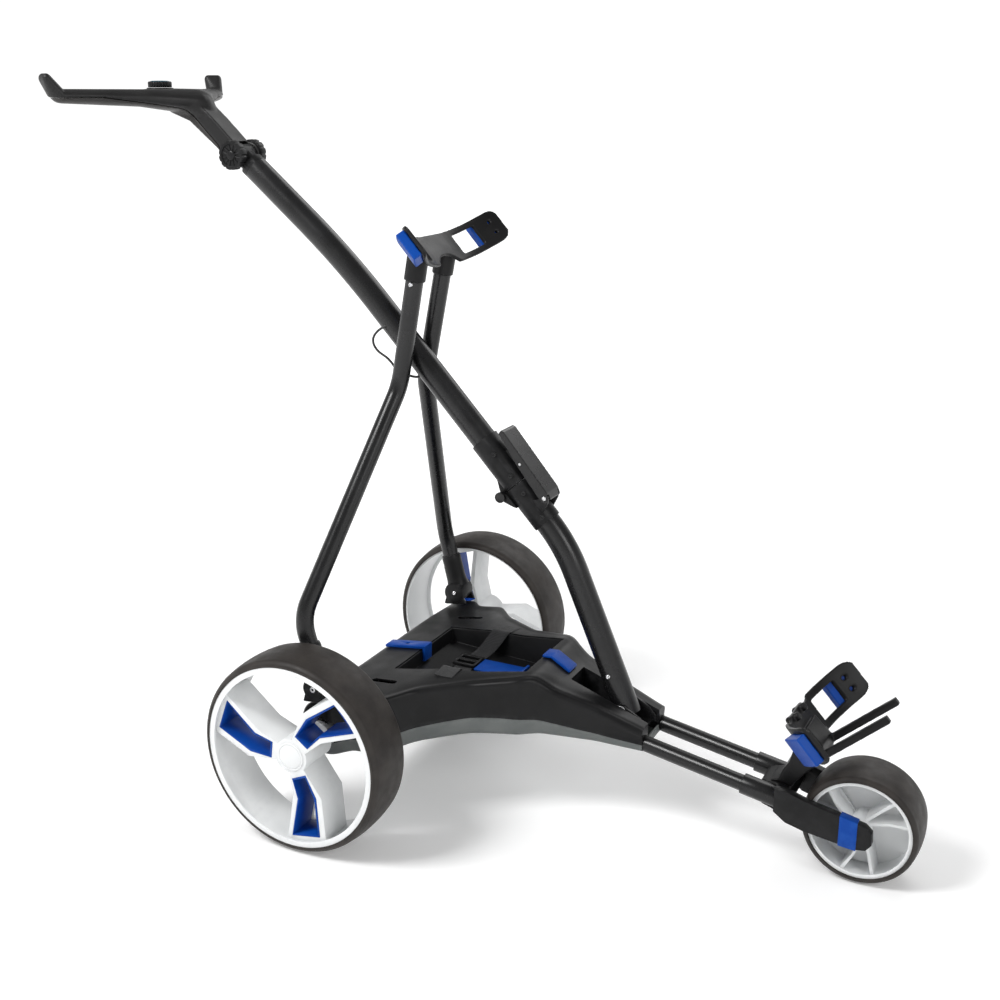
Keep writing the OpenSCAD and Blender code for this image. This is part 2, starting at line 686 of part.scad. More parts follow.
module lower_tube() color(graphite) clamp_frame() {
    translate([1, 0, 0]) tube_run(lower_clamp_l - 1 - seam, shaft_r);
    translate([lower_clamp_l, 0, 0]) {
        tube_bend(lower_bend_r, lower_bend, shaft_r);
        translate(xz(bend_step(lower_bend_r, 0, lower_bend))) rotate([0, lower_bend, 0])
            difference() {
                translate([seam, 0, 0]) tube_run(lower_straight + lower_tail - seam, shaft_r);
                cross_rod([lower_straight, 0], shaft_pin_r, 60);
            }
    }
}

// Frame at the clamp's split: +X runs up the shaft and +Z out of its under side
module upper_frame() from_axle() translate(xz(split)) rotate([0, clamp_tilt + 180, 0])
    children();
// Distances up the shaft at which the cable leaves it and comes back
cable_exit = 291.3;
cable_entry = 207;
upper_bend_step = bend_step(upper_bend_r, 0, upper_bend);
module upper_tube() color(graphite) {
    upper_frame() difference() {
        translate([1, 0, 0]) tube_run(upper_straight - 1 - seam, shaft_r);
        translate([cable_exit, 0, 5]) rotate([90, 0, 0]) cylinder(h = 40, r = 3.8, $fn = 32);
        translate([cable_entry, -6.5, 0]) cylinder(h = 40, r = 3.4, $fn = 32);
    }
    upper_frame() translate([upper_straight, 0, 0]) {
        tube_bend(upper_bend_r, upper_bend, shaft_r, true);
        translate([upper_bend_step[0], 0, -upper_bend_step[1]]) rotate([0, -upper_bend, 0])
            translate([seam, 0, 0]) tube_run(upper_end - seam, shaft_r);
    }
}

// Clamp halves: a split sleeve with hinge ears below
module clamp_sleeve(x0, x1) difference() {
    translate([x0, 0, 0]) run(x1 - x0, clamp_r);
    translate([x0 - 1, 0, 0]) run(x1 - x0 + 2, shaft_r + 0.05);
}

module hinge_eye(y, w) translate([0, y + w / 2, -hinge_drop]) rotate([90, 0, 0]) difference() {
    union() {
        cylinder(h = w, r = 6.5, $fn = 48);
        children();
    }
    translate([0, 0, -1]) cylinder(h = w + 2, r = hinge_r + run_gap, $fn = 48);
}

module lower_clamp() color(black) clamp_frame() {
    difference() {
        clamp_sleeve(gap, lower_clamp_l);
        translate([0, 0, -hinge_drop]) rotate([90, 0, 0])
            cylinder(h = 18.8, r = 7.2, $fn = 48, center = true);
    }
    difference() {
        union() {
            for (y = [-14, 14]) hinge_eye(y, 9.4)
                linear_extrude(9.4) polygon([[1, 6.4], [6, -2], [22, 6], [26, 9], [1, 9]]);
            both_sides() side(4, 17.2) polygon([[32, 12], [38, 26], [34, 32], [42, 34],
                [48, 28], [54, 12]]);
        }
        run(80, clamp_r - 0.5);
        translate([40, 0, 28]) rotate([90, 0, 0]) cylinder(h = 60, r = 3.06, $fn = 48,
            center = true);
    }
}

module upper_clamp() color(black) clamp_frame() {
    difference() {
        clamp_sleeve(-upper_clamp_l, -gap);
        both_sides() translate([0, 19.4, -hinge_drop]) rotate([90, 0, 0])
            cylinder(h = 10.5, r = 7.2, $fn = 48);
    }
    difference() {
        union() {
            hinge_eye(0, 18) linear_extrude(18)
                polygon([[-1, 6.4], [-6, -2], [-22, 6], [-26, 9], [-1, 9]]);
            translate([-46, -7, 12]) cube([18, 14, 16]);
        }
        translate([-80, 0, 0]) run(80, clamp_r - 0.5);
    }
}

module hinge_pin() color(graphite) clamp_frame() translate([0, 0, -hinge_drop])
    rotate([90, 0, 0]) {
        cylinder(h = 44, r = hinge_r, $fn = 48, center = true);
        both_ends() translate([0, 0, 19.4]) cylinder(h = 4, r = 7.5, $fn = 48);
    }

module screw_row(xs) for (x = xs) both_sides() translate([x, 0, 0]) rotate([-68, 0, 0])
    translate([0, 0, clamp_r + 0.1]) screw_head(3.4, 1.6);
module lower_clamp_screws() color(steel) clamp_frame() screw_row([16, 58]);
module upper_clamp_screws() color(steel) clamp_frame() screw_row([-14, -52]);

// Over-centre lever: a wide bar with two side cheeks, turning on a pin in the clamp's ears
lever_pin = [40, 28];
lever_side = [[-70, 34], [-71, 40], [-67, 42], [36, 37], [46, 33], [48, 26], [42, 21.6],
    [30, 21.8], [10, 23.4], [-20, 26], [-50, 31]];
module latch_lever() color(graphite) clamp_frame() difference() {
    side(40) polygon(lever_side);
    side(30.4) polygon([[-60, 20], [-60, 35], [-10, 35.5], [30, 33],
        [60, 30], [60, 10], [-40, 10]]);
    both_sides() side(4.8, 17.2) polygon([[24, 8], [28, 33.5], [44, 36], [60, 36], [60, 8]]);
    translate([lever_pin[0], 0, lever_pin[1]]) rotate([90, 0, 0])
        cylinder(h = 60, r = 3, $fn = 48, center = true);
    translate([-18, 0, 31]) rotate([90, 0, 0])
        cylinder(h = 60, r = 2.05, $fn = 48, center = true);
}

module latch_pin() color(steel) clamp_frame() {
    translate([lever_pin[0], 0, lever_pin[1]]) rotate([90, 0, 0])
        cylinder(h = 40.4, r = 3, $fn = 48, center = true);
    translate([-18, 0, 31]) rotate([90, 0, 0])
        cylinder(h = 40.4, r = 2, $fn = 48, center = true);
}

// Control cable: out of the tube above the stays and back in below them
cable_r = 1.75;
cable_route = [[-9, -16, 678], [-16, -19, 675], [-24, -20.5, 669], [-30, -21, 661],
    [-31, -21, 653], [-28, -21, 646], [-22, -21, 640], [-15, -21, 636], [-8, -21, 632],
    [-2, -20, 626], [4, -18, 618], [12, -14, 611.5], [21, -10, 607.5], [30, -7, 605.8],
    [38, -6.5, 607]];
cable_sides = 8;
function route_dir(p, i) = unit(p[min(i + 1, len(p) - 1)] - p[max(i - 1, 0)]);
function ring(p, i, r) = let (d = route_dir(p, i), a = unit(cross(d, [0, 1, 0])),
    b = cross(d, a)) [for (k = [0:cable_sides - 1])
        p[i] + r * (cos(360 * k / cable_sides) * a + sin(360 * k / cable_sides) * b)];
module swept_cord(p, r) {
    n = len(p);
    s = cable_sides;
    polyhedron(points = [for (i = [0:n - 1]) each ring(p, i, r)],
        faces = concat([[for (k = [0:s - 1]) k]],
            [for (i = [0:n - 2], k = [0:s - 1]) [i * s + k, (i + 1) * s + k,
                (i + 1) * s + (k + 1) % s, i * s + (k + 1) % s]],
            [[for (k = [s - 1:-1:0]) (n - 1) * s + k]]));
}
module shaft_cable() color(black) from_axle() swept_cord(cable_route, cable_r);

neck_r = 14.8;
module shaft_head() color(black) from_axle() difference() {
    union() {
        cross_rod(handle_pivot, neck_r, 2 * neck_r);
        rod(xz(shaft_top + 2 * slope(upper_slope)), xz(handle_pivot), neck_r);
        rod(xz(shaft_top + 24 * slope(upper_slope)), xz(shaft_top + slope(upper_slope)),
            shaft_r - tube_wall - 0.05);
        rod(xz(shaft_top), xz(shaft_top - 10 * slope(upper_slope)), shaft_r);
    }
    cross_rod(handle_pivot, knob_pin_r + run_gap, 60);
}

// ---- stays ----

stay_path = [stay_foot + [-2, 0, 12], stay_knee, stay_waist, stay_top];
module stay_left() color(graphite) from_axle() tube_path(stay_path, stay_r);
module stay_right() color(graphite) from_axle() mirror([0, 1, 0]) tube_path(stay_path, stay_r);

// Moulded feet: a socket round each stay's end over a hinge eye
module stay_feet() color(black) from_axle() both_sides() difference() {
    union() {
        rod([-16.4, 209.15, 217.2], [-24, 210, 244], stay_r + 2.4);
        cross_rod([stay_foot[0], foot_z], 11, 26, stay_foot[1]);
        rod([-13, 209, 204], [-16.4, 209.15, 217.2], stay_r + 0.4);
    }
    rod(stay_path[0] - 0.2 * unit(stay_knee - stay_path[0]), stay_knee, stay_r + 0.05);
    cross_rod([stay_foot[0], foot_z], foot_pin_r + run_gap, 60, stay_foot[1]);
}

// ---- handle ----

// Handle stations on the left half
handle_hub = [-352, 0, 983];
handle_mid = [-385, 70, 988];
handle_end = [-440, 174, 991];
grip_low = [-444, grip_reach - 9, 996];
grip_tip = [-453, grip_reach, 1015];

// Rounded lump at p, of size d along X, w along Y and h along Z
module knot(p, d, h, w = 10) translate(p) scale([d, w, h]) sphere(d = 1, $fn = 20);

module handle_form() {
    both_sides() {
        hull() {
            knot(handle_hub, 74, 36, 60);
            knot(handle_mid, 40, 25, 26);
        }
        hull() {
            knot(handle_mid, 40, 25, 26);
            knot(handle_end, 32, 20, 26);
        }
        hull() {
            knot(grip_low, 30, 20, 17);
            for (s = [-8, 8])
                knot(grip_tip + s * [0.89, 0.45, 0], 12, 14, 12);
        }
    }
    hull() {
        knot([-420, 0, 990], 40, 24, 70);
        knot(handle_hub, 74, 36, 60);
        knot([-322, 0, 967], 26, 26, 40);
    }
}

// The two shells part along a line that slopes down with the stem
module above_seam() side(460) polygon([[-520, 1100], [-520, 989], [-400, 989],
    [-345, 974], [-290, 921], [-279, 890], [-200, 886], [-200, 1100]]);
module below_seam() side(460) polygon([[-520, 860], [-520, 988.8], [-400, 988.8],
    [-345.2, 973.7], [-290.3, 920.8], [-279.3, 889.8], [-279.3, 860]]);

stem_w = 37;
eye_r = 18;
fork_gap = 2 * neck_r + 0.8;
module stem_form() side(stem_w) polygon([[-372, 994], [-341, 993], [-335, 990], [-298, 959],
    [-258, 922], [-247, 914], [-244, 905], [-248, 896], [-257, 891.5], [-268, 893],
    [-293, 917], [-341, 955], [-375, 967]]);

// Room for the shaft's head between the stem's cheeks
module head_room() {
    cross_rod(handle_pivot, eye_r + 0.4, fork_gap);
    translate(xz(handle_pivot)) rotate([0, upper_slope, 0])
        translate([7, -fork_gap / 2, -neck_r - 0.8]) cube([53, fork_gap, 2 * neck_r + 1.6]);
    cross_rod(handle_pivot, knob_pin_r + run_gap, 80);
}

module handle_top() color(black) from_axle() difference() {
    intersection() {
        union() {
            handle_form();
            stem_form();
            cross_rod(handle_pivot, eye_r, stem_w);
        }
        above_seam();
    }
    head_room();
    translate([dial_x, 0, 996]) cylinder(h = 60, r = dial_d / 2 + 2.5, $fn = 64);
}

module handle_bottom() color(graphite) from_axle() difference() {
    intersection() {
        union() {
            handle_form();
            stem_form();
        }
        below_seam();
    }
    head_room();
}

dial_x = -407;
module dial_base() color(black) from_axle() difference() {
    translate([dial_x, 0, 996.2]) cylinder(h = 6, r = dial_d / 2 + 2.2, $fn = 64);
    translate([dial_x, 0, 990]) cylinder(h = 40, r = 4.06, $fn = 48);
}

module speed_dial() color(blue) from_axle() translate([dial_x, 0, 0]) {
    translate([0, 0, 1003]) cylinder(h = 9, r = dial_d / 2, $fn = 64);
    translate([0, 0, 997]) cylinder(h = 7, r = 4, $fn = 48);
}

knob_pin_r = 5;
module tilt_knob(way) from_axle()
    translate([handle_pivot[0], way * (stem_w / 2 + 0.5), handle_pivot[1]])
    rotate([way > 0 ? -90 : 90, 0, 0]) {
        difference() {
            cylinder(h = 11, r = tilt_knob_d / 2, $fn = 64);
            for (k = [0:11]) rotate([0, 0, 30 * k]) translate([tilt_knob_d / 2 + 0.8, 0, -1])
                cylinder(h = 14, r = 2.2, $fn = 24);
            translate([0, 0, 9]) cylinder(h = 4, r = tilt_knob_d / 2 - 5, $fn = 64);
        }
        translate([0, 0, -18.5]) cylinder(h = 19, r = knob_pin_r, $fn = 48);
    }
module tilt_knob_left() color(black) tilt_knob(1);
module tilt_knob_right() color(black) tilt_knob(-1);

chassis_shell();
chassis_undertray();
battery_tray();
tray_pad();
tray_clip_rear();
tray_clip_front();
battery_strap();
strap_buckle();
battery_socket();
controller_box();
motor_body();
gearbox_case();
axle_bearings();
stay_brackets();
shaft_bracket();
shaft_pivot_pin();
fork_tubes();
fork_head();
fork_legs();
leg_bands();
front_axle();
lower_cradle();
lower_cradle_pads();
chassis_screws();
rear_axle();
drive_gear();
motor_pinion();
tyre_left();
rim_left();
liners_left();
hub_cap_left();
tyre_right();
rim_right();
liners_right();
hub_cap_right();
front_tyre();
front_rim();
front_bushes();
lower_tube();
lower_clamp();
hinge_pin();
lower_clamp_screws();
latch_lever();
latch_pin();
upper_tube();
upper_clamp();
upper_clamp_screws();
shaft_cable();
shaft_head();
stay_left();
stay_right();
stay_feet();
upper_cradle();
upper_cradle_pads();
handle_top();
handle_bottom();
dial_base();
speed_dial();
tilt_knob_left();
tilt_knob_right();
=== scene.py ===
"""Looks of the electric golf trolley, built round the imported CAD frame.

Lengths in the tables are millimetres from the rear axle, as in the CAD source: +X forward,
+Y left, +Z up from the floor. at() turns them into the frame's metres.
"""

import json
import math

import bmesh
import bpy
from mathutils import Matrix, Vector


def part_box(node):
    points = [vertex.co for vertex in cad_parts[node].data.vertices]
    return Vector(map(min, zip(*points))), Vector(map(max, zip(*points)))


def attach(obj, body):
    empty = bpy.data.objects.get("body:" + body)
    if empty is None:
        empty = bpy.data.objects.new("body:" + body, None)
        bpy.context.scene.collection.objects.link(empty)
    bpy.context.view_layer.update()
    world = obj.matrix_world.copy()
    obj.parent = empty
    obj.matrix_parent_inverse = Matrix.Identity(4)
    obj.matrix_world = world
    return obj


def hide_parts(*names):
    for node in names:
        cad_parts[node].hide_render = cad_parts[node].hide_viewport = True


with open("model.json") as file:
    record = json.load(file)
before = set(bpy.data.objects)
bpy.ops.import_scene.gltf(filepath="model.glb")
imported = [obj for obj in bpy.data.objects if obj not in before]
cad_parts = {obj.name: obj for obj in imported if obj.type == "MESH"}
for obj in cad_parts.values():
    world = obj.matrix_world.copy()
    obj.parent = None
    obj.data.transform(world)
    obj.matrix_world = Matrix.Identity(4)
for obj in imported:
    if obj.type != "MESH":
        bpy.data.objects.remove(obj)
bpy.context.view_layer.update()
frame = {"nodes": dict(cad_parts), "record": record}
nodes = frame["nodes"]
record = frame["record"]
slot_of = {part["node"]: part["material_slot"] for part in record["subparts"]}
body_of = {node: body for body, members in record["behaviour"]["bodies"].items()
           for node in members}

MM = 0.001
FULL_TURN = 2 * math.pi
AXIS = 0.01        # radius in mm of an outline's ends, which never quite close on its axis
CAD_WELD = 2e-6    # metres within which a CAD mesh's corners are one point
SEAM_WELD = 1e-6   # the same for the two halves of a mirrored cover
SIDES = (("left", 1), ("right", -1))

axle_low, axle_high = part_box("rear_axle")
rear_axle_x = (axle_low.x + axle_high.x) / 2


def at(x, y, z):
    """A place given in millimetres from the rear axle, in the frame's metres."""
    return Vector((rear_axle_x + x * MM, y * MM, z * MM))


# ---------------------------------------------------------------- materials

# The part of each input's range that is stretched to the whole of the output's.
PATCH_SPAN = (0.35, 0.65)
GLOSS_SPAN = (0.3, 0.7)
EDGE_SPAN = (0.52, 0.60)
RUB_SPAN = (0.40, 0.62)
RUB_SIZE = 0.012    # metres between rubbed places along an edge


class Graph:
    """A small helper that adds linked nodes to one material."""

    def __init__(self, name):
        self.material = bpy.data.materials.new(name)
        self.material.use_nodes = True
        self.tree = self.material.node_tree
        self.shader = self.tree.nodes["Principled BSDF"]
        self.place = self.add("ShaderNodeTexCoord").outputs["Object"]

    def add(self, kind, **inputs):
        node = self.tree.nodes.new(kind)
        for key, value in inputs.items():
            self.feed(node, key.replace("_", " "), value)
        return node

    def feed(self, node, key, value):
        if hasattr(value, "is_output"):
            self.tree.links.new(value, node.inputs[key])
        else:
            node.inputs[key].default_value = value

    def noise(self, size, detail=3.0):
        """Noise whose features are about size metres across."""
        node = self.add("ShaderNodeTexNoise", Vector=self.place, Scale=1 / size, Detail=detail)
        return node.outputs["Fac"]

    def waves(self, bands, scale, distortion):
        node = self.add("ShaderNodeTexWave", Vector=self.place, Scale=scale,
                        Distortion=distortion)
        node.bands_direction = bands
        return node.outputs["Fac"]

    def remap(self, value, low, high, to_low, to_high):
        node = self.add("ShaderNodeMapRange", Value=value, From_Min=low, From_Max=high,
                        To_Min=to_low, To_Max=to_high)
        return node.outputs["Result"]

    def mix(self, fac, a, b):
        node = self.tree.nodes.new("ShaderNodeMix")
        node.data_type = "RGBA"
        self.feed(node, 0, fac)
        self.feed(node, 6, a)
        self.feed(node, 7, b)
        return node.outputs[2]

    def maths(self, kind, a, b):
        node = self.tree.nodes.new("ShaderNodeMath")
        node.operation = kind
        self.feed(node, 0, a)
        self.feed(node, 1, b)
        return node.outputs[0]

    def bump(self, height, depth):
        node = self.add("ShaderNodeBump", Height=height, Strength=1.0, Distance=depth)
        return node.outputs["Normal"]

    def edges(self):
        """1 on worn outer edges and 0 elsewhere."""
        return self.remap(self.add("ShaderNodeNewGeometry").outputs["Pointiness"],
                          *EDGE_SPAN, 0.0, 1.0)


def rgb(r, g, b):
    return (r, g, b, 1.0)


def surface(name, dark, light, rough, vary, grain, depth, blotch=0.05, wear=None,
            wear_amount=0.35, metallic=0.0, level=0.5):
    """A surface with blotches of two close colours, fine grain, uneven gloss and worn edges."""
    g = Graph(name)
    patches = g.remap(g.noise(blotch, 4.0), *PATCH_SPAN, 0.0, 1.0)
    colour = g.mix(patches, rgb(*dark), rgb(*light))
    if wear:
        rubbed = g.maths("MULTIPLY", g.edges(),
                         g.remap(g.noise(RUB_SIZE), *RUB_SPAN, 0.0, wear_amount))
        colour = g.mix(rubbed, colour, rgb(*wear))
    g.feed(g.shader, "Base Color", colour)
    gloss = g.remap(g.noise(blotch * 0.6, 5.0), *GLOSS_SPAN, rough - vary, rough + vary)
    g.feed(g.shader, "Roughness", gloss)
    g.feed(g.shader, "Normal", g.bump(g.noise(grain, 2.0), depth))
    g.shader.inputs["Metallic"].default_value = metallic
    g.shader.inputs["Specular IOR Level"].default_value = level
    return g.material


def webbing():
    """Woven webbing: ribs across its length and a finer thread along it."""
    g = Graph("webbing")
    weave = g.maths("MULTIPLY", g.waves("Y", 260, 0.4), g.waves("X", 330, 0.3))
    patches = g.remap(g.noise(0.02), *PATCH_SPAN, 0.0, 1.0)
    base = g.mix(patches, rgb(0.008, 0.008, 0.0085), rgb(0.014, 0.014, 0.015))
    g.feed(g.shader, "Base Color", g.mix(weave, base, rgb(0.028, 0.028, 0.030)))
    g.feed(g.shader, "Roughness", g.remap(weave, 0.0, 1.0, 0.92, 0.7))
    g.feed(g.shader, "Normal", g.bump(weave, 0.00022))
    g.shader.inputs["Sheen Weight"].default_value = 0.08
    return g.material


# Each surface: dark and light colour, roughness and its variation, grain size and depth.
MATERIALS = {
    # satin powder coat: fine orange peel, edges rubbed to grey
    "frame_black": surface(
        "frame_black", (0.004, 0.004, 0.0043), (0.0075, 0.0075, 0.0080), 0.27, 0.04,
        0.0016, 0.000015, wear=(0.05, 0.05, 0.053), wear_amount=0.14, level=0.38),
    # moulded plastic: leathery grain
    "housing_black": surface(
        "housing_black", (0.0036, 0.0036, 0.0039), (0.0066, 0.0066, 0.0070), 0.40, 0.06,
        0.0011, 0.00008, wear=(0.035, 0.035, 0.037), level=0.21),
    "handle_skin": surface(
        "handle_skin", (0.0060, 0.0058, 0.0060), (0.0105, 0.0101, 0.0103), 0.44, 0.06,
        0.0009, 0.00006, wear=(0.04, 0.04, 0.042), level=0.28),
    # the handle's lower shell is a lighter, browner plastic in the same slot
    "handle_under": surface(
        "handle_under", (0.018, 0.0165, 0.0160), (0.026, 0.0242, 0.0235), 0.46, 0.06,
        0.0009, 0.00006, wear=(0.05, 0.047, 0.046), level=0.34),
    "undertray_grey": surface(
        "undertray_grey", (0.088, 0.097, 0.095), (0.112, 0.120, 0.117), 0.50, 0.08,
        0.0012, 0.00012, wear=(0.20, 0.21, 0.205), level=0.35),
    "accent_blue": surface(
        "accent_blue", (0.0008, 0.038, 0.245), (0.0016, 0.050, 0.285), 0.42, 0.06,
        0.0010, 0.00006, wear=(0.02, 0.10, 0.42), level=0.16),
    "rim_white": surface(
        "rim_white", (0.700, 0.712, 0.716), (0.750, 0.760, 0.762), 0.34, 0.05,
        0.0016, 0.00005, blotch=0.08, wear=(0.62, 0.63, 0.64), level=0.35),
    "tyre_rubber": surface(
        "tyre_rubber", (0.016, 0.0130, 0.0115), (0.028, 0.0235, 0.0205), 0.55, 0.08,
        0.0014, 0.00012, blotch=0.03, wear=(0.06, 0.053, 0.047), level=0.32),
    "steel": surface(
        "steel", (0.50, 0.50, 0.51), (0.66, 0.66, 0.67), 0.28, 0.09,
        0.0012, 0.00006, blotch=0.01, metallic=1.0),
    "motor_can": surface(
        "motor_can", (0.060, 0.060, 0.062), (0.085, 0.085, 0.088), 0.42, 0.08,
        0.0012, 0.0001, metallic=0.6),
    "bush_plastic": surface(
        "bush_plastic", (0.020, 0.020, 0.021), (0.030, 0.030, 0.032), 0.50, 0.08,
        0.0011, 0.0001),
    "webbing": webbing(),
    "cable_jacket": surface(
        "cable_jacket", (0.010, 0.010, 0.010), (0.018, 0.018, 0.018), 0.42, 0.08,
        0.0008, 0.00005, blotch=0.01),
    "dial_teal": surface(
        "dial_teal", (0.005, 0.045, 0.072), (0.008, 0.068, 0.100), 0.42, 0.07,
        0.0009, 0.00006, blotch=0.01, wear=(0.10, 0.25, 0.30)),
}


# ---------------------------------------------------------------- mesh helpers

def piece(name, mesh, node_names, body=None, slot=None, smooth_angle=40):
    """Adds a finished mesh as a piece that stands for some CAD nodes, or rides on a body."""
    mesh.shade_smooth()
    mesh.set_sharp_from_angle(angle=math.radians(smooth_angle))
    obj = bpy.data.objects.new(name, mesh)
    bpy.context.scene.collection.objects.link(obj)
    first = node_names[0] if node_names else None
    slot = slot or slot_of[first]
    mesh.materials.clear()
    mesh.materials.append(MATERIALS[slot])
    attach(obj, body or body_of[first])
    if node_names:
        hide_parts(*node_names)
    return obj


def mesh_from(bm, name):
    bmesh.ops.recalc_face_normals(bm, faces=bm.faces)
    mesh = bpy.data.meshes.new(name)
    bm.to_mesh(mesh)
    bm.free()
    return mesh


def bridge(bm, a, b):
    """Faces between two closed rings of vertices."""
    for k in range(len(a)):
        n = (k + 1) % len(a)
        bm.faces.new((a[k], a[n], b[n], b[k]))


def strip(bm, a, b, first=0):
    """Faces between two open rows of vertices, from the given column on."""
    for k in range(first, len(a) - 1):
        bm.faces.new((a[k], b[k], b[k + 1], a[k + 1]))


def modified(mesh, *modifiers):
    """The mesh after some modifiers, each given as (type, settings)."""
    temp = bpy.data.objects.new("temp", mesh)
    bpy.context.scene.collection.objects.link(temp)
    for kind, settings in modifiers:
        modifier = temp.modifiers.new(kind.lower(), kind)
        for key, value in settings.items():
            setattr(modifier, key, value)
    depsgraph = bpy.context.evaluated_depsgraph_get()
    result = bpy.data.meshes.new_from_object(temp.evaluated_get(depsgraph))
    bpy.data.objects.remove(temp)
    return result


def cad_copy(node, flat_angle=None):
    """A welded copy of a CAD node's mesh; faces within flat_angle degrees become one."""
    bm = bmesh.new()
    bm.from_mesh(nodes[node].data)
    bmesh.ops.remove_doubles(bm, verts=bm.verts, dist=CAD_WELD)
    if flat_angle:
        bmesh.ops.dissolve_limit(bm, angle_limit=math.radians(flat_angle),
                                 verts=bm.verts, edges=bm.edges)
    return mesh_from(bm, node)


def soften(node, width, segments=2):
    """Replaces a CAD node by the same shape with rounded edges, width in millimetres."""
    mesh = modified(cad_copy(node, flat_angle=0.8), ("BEVEL", {
        "width": width * MM, "segments": segments, "limit_method": "ANGLE",
        "angle_limit": math.radians(32), "use_clamp_overlap": True,
        "miter_outer": "MITER_ARC"}))
    piece(node + "_finish", mesh, [node], smooth_angle=50)


def sweep(points, radius, sides):
    """A round bar along points; the radius may be a function of the share of points passed."""
    bm = bmesh.new()
    points = [Vector(p) for p in points]
    rings = []
    side = None
    for i, p in enumerate(points):
        ahead = points[min(i + 1, len(points) - 1)]
        behind = points[max(i - 1, 0)]
        along = (ahead - behind).normalized()
        if side is None:
            side = along.orthogonal().normalized()
        side = (side - along * side.dot(along)).normalized()
        up = along.cross(side)
        r = radius(i / (len(points) - 1)) if callable(radius) else radius
        rings.append([bm.verts.new(p + r * (math.cos(a) * side + math.sin(a) * up))
                      for a in (FULL_TURN * k / sides for k in range(sides))])
    for a, b in zip(rings, rings[1:]):
        bridge(bm, a, b)
    bm.faces.new(reversed(rings[0]))
    bm.faces.new(rings[-1])
    return mesh_from(bm, "sweep")


def lathe(centre, profile, segments=160, axis=(0, 1, 0), flutes=0, flute_depth=0.0):
    """A closed outline of (radius, height) in millimetres, turned about an axis through centre."""
    bm = bmesh.new()
    turn = Vector((0, 1, 0)).rotation_difference(Vector(axis)).to_matrix()
    rings = []
    for k in range(segments):
        a = FULL_TURN * k / segments
        bite = flute_depth * max(0.0, math.cos(flutes * a)) ** 3 if flutes else 0.0
        ring = []
        for r, y in profile:
            r = max(r - bite * min(1.0, r / profile[-1][0]), AXIS)
            ring.append(bm.verts.new(
                centre + turn @ Vector((r * math.cos(a), y, r * math.sin(a))) * MM))
        rings.append(ring)
    for k in range(segments):
        bridge(bm, rings[k], rings[(k + 1) % segments])
    return mesh_from(bm, "lathe")


def carved(mesh, *cutters):
    """The mesh with some closed cutter meshes taken away."""
    for cutter in cutters:
        tool = bpy.data.objects.new("cutter", cutter)
        bpy.context.scene.collection.objects.link(tool)
        mesh = modified(mesh, ("BOOLEAN", {"operation": "DIFFERENCE", "solver": "EXACT",
                                           "object": tool}))
        bpy.data.objects.remove(tool)
    return mesh


def slot_prism(p, q, r, low, high):
    """An upright prism with round ends from p to q, for cutting slots; millimetres."""
    bm = bmesh.new()
    p, q = Vector((*p, 0)), Vector((*q, 0))
    along = (q - p).normalized()
    start = math.atan2(along.y, along.x)
    arc_steps = 12
    outline = []
    for centre, first in ((q, start - math.pi / 2), (p, start + math.pi / 2)):
        for k in range(arc_steps + 1):
            a = first + math.pi * k / arc_steps
            outline.append(centre + r * Vector((math.cos(a), math.sin(a), 0)))
    bottom = [bm.verts.new(at(v.x, v.y, low)) for v in outline]
    top = [bm.verts.new(at(v.x, v.y, high)) for v in outline]
    bm.faces.new(bottom)
    bm.faces.new(reversed(top))
    bridge(bm, bottom, top)
    return mesh_from(bm, "slot")


def bent(points, radius, steps):
    """The points with each inner corner turned into an arc-like curve of about radius."""
    most = 0.45    # the share of a straight that one corner may take
    out = [points[0]]
    for a, b, c in zip(points, points[1:], points[2:]):
        before, after = (a - b).normalized(), (c - b).normalized()
        half = math.acos(max(-1, min(1, before.dot(after)))) / 2
        cut = min(radius / math.tan(half), most * (a - b).length, most * (c - b).length)
        start, end = b + before * cut, b + after * cut
        for k in range(steps + 1):
            t = k / steps
            out.append(start * (1 - t) ** 2 + 2 * b * t * (1 - t) + end * t ** 2)
    out.append(points[-1])
    return out


def along_line(table, x):
    """Linear interpolation in a table of (x, value)."""
    for (x0, v0), (x1, v1) in zip(table, table[1:]):
        if x <= x1:
            t = (x - x0) / (x1 - x0)
            return v0 + (v1 - v0) * max(0.0, min(1.0, t))
    return table[-1][1]


# ---------------------------------------------------------------- wheels

TREAD_CROWN = 2.2    # how far the tread falls from its middle to its shoulders


def tyre(name, wheel_r, width, bead_r, shoulder, groove):
    """A solid tyre with a crowned tread, rounded shoulders and a groove beside the rim."""
    low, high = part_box(name)
    half = width / 2
    arc_steps, tread_steps = 8, 12
    profile = [(bead_r, -half + 3), (bead_r + 1.5, -half + 0.8), (bead_r + groove, -half)]
    edge_r = wheel_r - TREAD_CROWN
    for k in range(arc_steps + 1):
        a = math.pi / 2 * k / arc_steps
        profile.append((edge_r - shoulder + shoulder * math.sin(a),
                        -half + shoulder - shoulder * math.cos(a)))
    wall = list(profile)
    flat = half - shoulder
    for k in range(1, tread_steps):
        y = -flat + 2 * flat * k / tread_steps
        profile.append((edge_r + TREAD_CROWN * (1 - (abs(y) / flat) ** 2.2), y))
    profile += [(r, -y) for r, y in reversed(wall)]
    piece(name + "_rubber", lathe((low + high) / 2, profile), [name], smooth_angle=60)


tyre("tyre_left", 140, 78, 129.05, 9, 3)
tyre("tyre_right", 140, 78, 129.05, 9, 3)
tyre("front_tyre", 77, 76, 67.55, 7, 2.2)

for side in ("left", "right"):
    soften("rim_" + side, 1.6, 3)
    soften("liners_" + side, 0.3, 1)
    soften("hub_cap_" + side, 0.5)
soften("front_rim", 0.7)
soften("front_bushes", 0.4)


